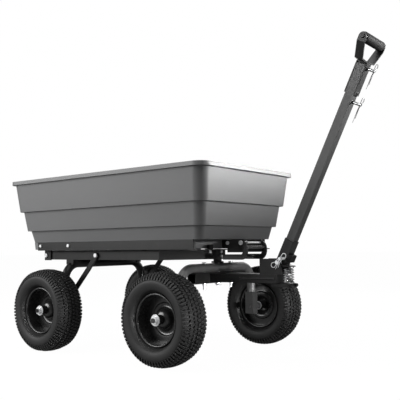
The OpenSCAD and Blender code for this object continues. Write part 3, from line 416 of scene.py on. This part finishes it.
def cornerLoop(bm, lowX, highX, halfY, z, corner):
    made = bmesh.ops.create_grid(bm, x_segments=1, y_segments=1, size=0.5)["verts"]
    bmesh.ops.scale(bm, verts=made, vec=(highX - lowX, 2 * halfY, 1))
    bmesh.ops.translate(bm, verts=made, vec=((lowX + highX) / 2, 0, z))
    bmesh.ops.bevel(bm, geom=made, offset=corner, offset_type="OFFSET", segments=tubSet["cornerSteps"],
                    profile=0.5, affect="VERTICES", material=-1)
    face = bm.faces[:][-1]  # the only face so far, as each loop loses its own
    loop = face.edges[:]
    bmesh.ops.delete(bm, geom=[face], context="FACES_ONLY")
    return loop


def bandStep(z, inset, wall=0.0):
    corner = tubSet["rimCorner"] - tubSet["cornerFall"] * (inset + wall)
    return z, inset + wall, inset + wall, inset + wall, corner


def footStep(z, back, wall=0.0):
    corner = tubSet["footCorner"] - wall
    return z, tubSet["footFront"] + wall, back + wall, tubSet["footSide"] + wall, corner


def tubSteps(low, high):
    # up the outside, over the rim and down the inside: height, front, rear and side inset, corner
    t = tubSet["wall"]
    z = low.z + tubSet["ledge"]
    under, ledge = tubSet["footBack"]
    outside = [footStep(low.z, under), footStep(z, ledge)]
    inside = [footStep(z + t, ledge, t), footStep(low.z + t, under, t)]
    for tall, foot, head in tubSet["bands"]:
        outside += [bandStep(z, foot), bandStep(z + tall, head)]
        inside = [bandStep(z + tall + t, head, t), bandStep(z + t, foot, t)] + inside
        z += tall
    outside += [bandStep(z, 0.0), bandStep(high.z, 0.0), bandStep(high.z, tubSet["lipOut"])]
    inside[0] = bandStep(high.z - t, tubSet["lipOut"], t)
    return outside + inside


def cutAcross(bm, face, place, normal):
    geom = [face] + face.edges[:] + face.verts[:]
    cut = bmesh.ops.bisect_plane(bm, geom=geom, plane_co=place, plane_no=normal)
    return [f for f in cut["geom"] if isinstance(f, bmesh.types.BMFace)]


def sinkPlate(bm):
    # bare recess for a label on the right side's top band
    spec = tubSet["plate"]
    side = [f for f in bm.faces if f.normal.y < -0.9 and f.calc_area() > 0.08]
    face = max(side, key=lambda f: f.calc_center_median().z)
    middle = Vector((sum(spec["x"]) / 2, face.calc_center_median().y, sum(spec["z"]) / 2))
    for axis, key in ((along, "x"), (up, "z")):
        for value in spec[key]:
            parts = cutAcross(bm, face, axis * value, axis)
            face = min(parts, key=lambda f: (f.calc_center_median() - middle).length)
    bmesh.ops.inset_individual(bm, faces=[face], thickness=spec["border"], depth=-spec["sink"])


def buildTub():
    low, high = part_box("tub")
    bm = bmesh.new()
    steps = tubSteps(low, high)
    loops = []
    for place, (z, front, back, side, corner) in enumerate(steps):
        # the loops stand a metre apart until they are bridged, so none shares a plane
        loops.append(cornerLoop(bm, low.x + back, high.x - front, high.y - side, place, corner))
    for a, b in zip(loops, loops[1:]):
        bmesh.ops.bridge_loops(bm, edges=a + b)
    for place, (step, loop) in enumerate(zip(steps, loops)):
        verts = list({v for e in loop for v in e.verts})
        bmesh.ops.translate(bm, verts=verts, vec=(0, 0, step[0] - place))
    for loop in (loops[0], loops[-1]):
        bmesh.ops.contextual_create(bm, geom=loop)
    bmesh.ops.recalc_face_normals(bm, faces=bm.faces[:])
    turned = [e for loop in loops for e in loop]
    bmesh.ops.bevel(bm, geom=turned, offset=tubSet["soften"], offset_type="OFFSET", segments=3, profile=0.5,
                    affect="EDGES", material=-1, clamp_overlap=True)
    bm.normal_update()
    sinkPlate(bm)
    piece = settle(bm, "tub_moulded", "poly", tubSet["smooth"])
    evenShading(piece)
    standFor(piece, "tub")


buildTub()
print("tub done")


# Wheels: a profile's points are a radius and a distance outboard of the wheel's middle

tyreSet = {
    "section": [(0.0905, 0.0300), (0.0925, 0.0322), (0.0950, 0.0340), (0.0975, 0.0385), (0.0995, 0.0440),
                (0.1025, 0.0500), (0.1070, 0.0545), (0.1130, 0.0570), (0.1200, 0.0583), (0.1270, 0.0588),
                (0.1340, 0.0583), (0.1380, 0.0566), (0.1405, 0.0528), (0.1460, 0.0472), (0.1510, 0.0402),
                (0.1552, 0.0305), (0.1580, 0.0165)],
    "crown": 0.159,
    "turn": 96,
    "blocks": 72,
    # each row's offset, and the share of a pitch that it leads by
    "rows": [(-0.034, 0.5), (-0.017, 0.0), (0.0, 0.5), (0.017, 0.0), (0.034, 0.5)],
    "block": (0.0092, 0.0128, 0.0100),
    "blockTurn": 14.0,
    "top": 0.1649,
    "drop": 4.6,  # how the rows fall away from the crown
    "lugs": [(0.0530, 0.1425, 22.0, (0.0070, 0.0070, 0.0110)),
             (0.0478, 0.1508, 46.0, (0.0082, 0.0080, 0.0150))],  # outboard, radius, lean, size
    "edge": 0.0007,
    "smooth": 40.0,
}
rimSet = {
    "lip": [(0.0850, 0.0300), (0.0848, 0.0345), (0.0856, 0.0372), (0.0872, 0.0390), (0.0893, 0.0396),
            (0.0913, 0.0389), (0.0925, 0.0372), (0.0925, 0.0352), (0.0912, 0.0338), (0.0890, 0.0330),
            (0.0880, 0.0300)],
    "disc": [(0.0850, -0.0110), (0.0640, -0.0112), (0.0590, -0.0120), (0.0570, -0.0150), (0.0545, -0.0172),
             (0.0480, -0.0175), (0.0420, -0.0172), (0.0385, -0.0140), (0.0366, -0.0075), (0.0332, 0.0000),
             (0.0285, 0.0058), (0.0230, 0.0092), (0.0165, 0.0105)],
    "gauge": 0.003,
    "turn": 72,
    "hub": (0.01305, 0.0170, 0.034),  # bore and outside radius, outboard end
    "smooth": 40.0,
}


def spinProfile(bm, points, centre, outboard, turn):
    verts = [bm.verts.new(centre + Vector((0, outboard * v, r))) for r, v in points]
    lines = [bm.edges.new(pair) for pair in zip(verts, verts[1:] + verts[:1])]
    bmesh.ops.spin(bm, geom=verts + lines, cent=centre, axis=across, angle=math.tau, steps=turn,
                   use_merge=True)


def ringOfBlocks(bm, centre, matrix):
    count = tyreSet["blocks"]
    made = bmesh.ops.create_cube(bm, size=1.0, matrix=matrix)["verts"]
    faces = list({f for v in made for f in v.link_faces})
    geom = made + list({e for f in faces for e in f.edges}) + faces
    bmesh.ops.spin(bm, geom=geom, cent=centre, axis=across, angle=math.tau * (count - 1) / count,
                   steps=count - 1, use_duplicate=True)


def layTread(bm, centre):
    pitch = math.tau / tyreSet["blocks"]
    size = tyreSet["block"]
    for v, lead in tyreSet["rows"]:
        top = tyreSet["top"] - tyreSet["drop"] * v * v
        turn = math.copysign(math.radians(tyreSet["blockTurn"]), v or 1)
        place = (Matrix.Translation(centre) @ Matrix.Rotation(lead * pitch, 4, "Y")
                 @ Matrix.Translation((0, v, top - size[2] / 2)) @ Matrix.Rotation(turn, 4, "Z")
                 @ Matrix.Diagonal((*size, 1)))
        ringOfBlocks(bm, centre, place)


def layLugs(bm, centre):
    for out, tall, lean, size in tyreSet["lugs"]:
        for side in (1, -1):
            place = (Matrix.Translation(centre) @ Matrix.Translation((0, side * out, tall))
                     @ Matrix.Rotation(side * math.radians(lean), 4, "X") @ Matrix.Diagonal((*size, 1)))
            ringOfBlocks(bm, centre, place)


def buildTyre(name):
    centre = sum(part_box(name), Vector()) / 2
    bm = bmesh.new()
    half = tyreSet["section"]
    whole = half + [(tyreSet["crown"], 0.0)] + [(r, -v) for r, v in reversed(half)]
    spinProfile(bm, whole, centre, 1, tyreSet["turn"])
    layTread(bm, centre)
    layLugs(bm, centre)
    bmesh.ops.recalc_face_normals(bm, faces=bm.faces[:])
    piece = settle(bm, name + "_treaded", "tyre", tyreSet["smooth"])
    breakEdges(piece, tyreSet["edge"], 1)
    standFor(piece, name)


def buildRim(name):
    centre = sum(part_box(name.replace("_rim", "_tyre")), Vector()) / 2
    outboard = 1 if "left" in name else -1
    turn = rimSet["turn"]
    bm = bmesh.new()
    lip = rimSet["lip"]
    spinProfile(bm, lip + [(r, -v) for r, v in reversed(lip)], centre, outboard, turn)
    face = rimSet["disc"]
    back = [(r, v - rimSet["gauge"]) for r, v in reversed(face)]
    spinProfile(bm, face + back, centre, outboard, turn)
    bore, outside, end = rimSet["hub"]
    inner = min(outboard * (p.y - centre.y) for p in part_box(name))
    tube = [(bore, inner), (outside, inner), (outside, end), (bore, end)]
    spinProfile(bm, tube, centre, outboard, turn)
    bmesh.ops.recalc_face_normals(bm, faces=bm.faces[:])
    standFor(settle(bm, name + "_pressed", "rim_black", rimSet["smooth"]), name)


for n in sorted(nodes):
    if n.endswith("_tyre"):
        buildTyre(n)
    elif n.endswith("_rim"):
        buildRim(n)
print("wheels done")


# Grip

gripSet = {"bore": 0.0081, "round": 0.004, "shoulder": 0.3, "turn": 48, "smooth": 50.0}


def buildGrip():
    low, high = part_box("grip_sleeve")
    half = (high.y - low.y) / 2
    outer = (high.x - low.x) / 2
    r = gripSet["round"]
    shoulder = gripSet["shoulder"] * r
    line = [(gripSet["bore"], half), (outer - r, half), (outer - shoulder, half - shoulder),
            (outer, half - r)]
    bm = bmesh.new()
    profile = line + [(a, -b) for a, b in reversed(line)]
    spinProfile(bm, profile, (low + high) / 2, 1, gripSet["turn"])
    bmesh.ops.recalc_face_normals(bm, faces=bm.faces[:])
    standFor(settle(bm, "grip_padding", "grip_foam", gripSet["smooth"]), "grip_sleeve")


buildGrip()
print("grip done")


# Camera, floor and light

cameraSet = {"place": (1.60894, -1.97776, 0.41788), "azimuth": 38.39, "pitch": 4.14, "roll": -0.71,
             "lens": 56.925, "sensor": 36.0}


def aimCamera():
    a, e, roll = (math.radians(cameraSet[k]) for k in ("azimuth", "pitch", "roll"))
    view = Vector((-math.sin(a) * math.cos(e), math.cos(a) * math.cos(e), math.sin(e)))
    right = Vector((math.cos(a), math.sin(a), 0))
    top = right.cross(view)
    tilted = math.cos(roll) * right + math.sin(roll) * top
    upright = math.cos(roll) * top - math.sin(roll) * right
    data = bpy.data.cameras.new("camera")
    data.sensor_width = cameraSet["sensor"]
    data.lens = cameraSet["lens"]
    camera = bpy.data.objects.new("camera", data)
    turn = Matrix((tilted, upright, -view)).transposed()
    camera.matrix_world = Matrix.Translation(cameraSet["place"]) @ turn.to_4x4()
    bpy.context.scene.collection.objects.link(camera)
    bpy.context.scene.camera = camera


floorSet = {"reach": 30.0, "tone": 0.24, "white": 1.06, "seen": 0.93, "mirrored": 0.25}


def seenDirect(w):
    camera = w.add("LightPath", out="Is Camera Ray")
    glossy = w.add("LightPath", out="Is Glossy Ray")
    return camera, glossy + w.add("LightPath", out="Is Transmission Ray")


def layFloor():
    bm = bmesh.new()
    bmesh.ops.create_grid(bm, x_segments=1, y_segments=1, size=floorSet["reach"])
    mesh = bpy.data.meshes.new("floor")
    bm.to_mesh(mesh)
    bm.free()
    floor = bpy.data.objects.new("floor", mesh)
    bpy.context.scene.collection.objects.link(floor)
    mat = bpy.data.materials.new("paleFloor")
    mat.use_nodes = True
    tree = mat.node_tree
    w = Wire(tree)
    camera, mirrored = seenDirect(w)
    glow = w.add("Emission", None, {"Color": (1, 1, 1, 1), "Strength": floorSet["white"]})
    matt = w.add("BsdfDiffuse", None, {"Color": grey(floorSet["tone"])})
    shown = camera * floorSet["seen"] + mirrored * floorSet["mirrored"]
    both = w.add("MixShader", None, {0: shown, 1: matt, 2: glow})
    tree.links.new(both.socket, tree.nodes["Material Output"].inputs["Surface"])
    mesh.materials.append(mat)


worldSet = {"fill": 0.17, "white": 1.0, "mirrored": 0.1}
lampSet = {
    "leftSoftbox": {"place": (-2.2, -2.6, 1.5), "aim": (0, 0, 0.45),
                    "size": (2.2, 1.6), "spread": 180, "watts": 108.0},
    "rightSoftbox": {"place": (2.4, 2.4, 1.25), "aim": (0.2, 0, 0.90),
                     "size": (1.8, 0.4), "spread": 14, "watts": 9.0},
    "lowSoftbox": {"place": (2.8, -0.35, 0.28), "aim": (0.2, -0.1, 0.19),
                   "size": (1.4, 0.16), "spread": 9, "watts": 1.6},
    "backSoftbox": {"place": (-0.6, 3.2, 1.8), "aim": (0, 0, 0.45),
                    "size": (2.4, 1.4), "spread": 180, "watts": 34.0},
    "topSoftbox": {"place": (0.1, -0.6, 3.1), "aim": (0, 0, 0.45),
                   "size": (2.4, 1.2), "spread": 180, "watts": 55.0},
    "glintPanel": {"place": (1.6, -1.4, 2.7), "aim": (0.1, -0.3, 0.2),
                   "size": (0.9, 0.9), "spread": 180, "watts": 18.0},
    "gripPanel": {"place": (0.2, -2.4, 2.2), "aim": (0.75, 0, 1.08),
                  "size": (0.5, 0.5), "spread": 16, "watts": 0.6},
}


def lightWorld():
    world = bpy.data.worlds.new("studio")
    bpy.context.scene.world = world
    world.use_nodes = True
    tree = world.node_tree
    w = Wire(tree)
    camera, mirrored = seenDirect(w)
    shade = w.add("Background", None, {"Color": (1, 1, 1, 1), "Strength": worldSet["fill"]})
    plain = w.add("Background", None, {"Color": (1, 1, 1, 1), "Strength": worldSet["white"]})
    both = w.add("MixShader", None, {0: camera + mirrored * worldSet["mirrored"], 1: shade, 2: plain})
    tree.links.new(both.socket, tree.nodes["World Output"].inputs["Surface"])


def hangLamp(name, spec):
    data = bpy.data.lights.new(name, "AREA")
    data.shape = "RECTANGLE"
    data.size, data.size_y = spec["size"]
    data.energy = spec["watts"]
    data.spread = math.radians(spec["spread"])
    lamp = bpy.data.objects.new(name, data)
    lamp.visible_camera = False
    toward = Vector(spec["aim"]) - Vector(spec["place"])
    turn = toward.to_track_quat("-Z", "Y").to_matrix().to_4x4()
    lamp.matrix_world = Matrix.Translation(spec["place"]) @ turn
    bpy.context.scene.collection.objects.link(lamp)


aimCamera()
layFloor()
lightWorld()
for name, spec in lampSet.items():
    hangLamp(name, spec)
bpy.context.scene.view_settings.view_transform = "Standard"
print("stage lit")
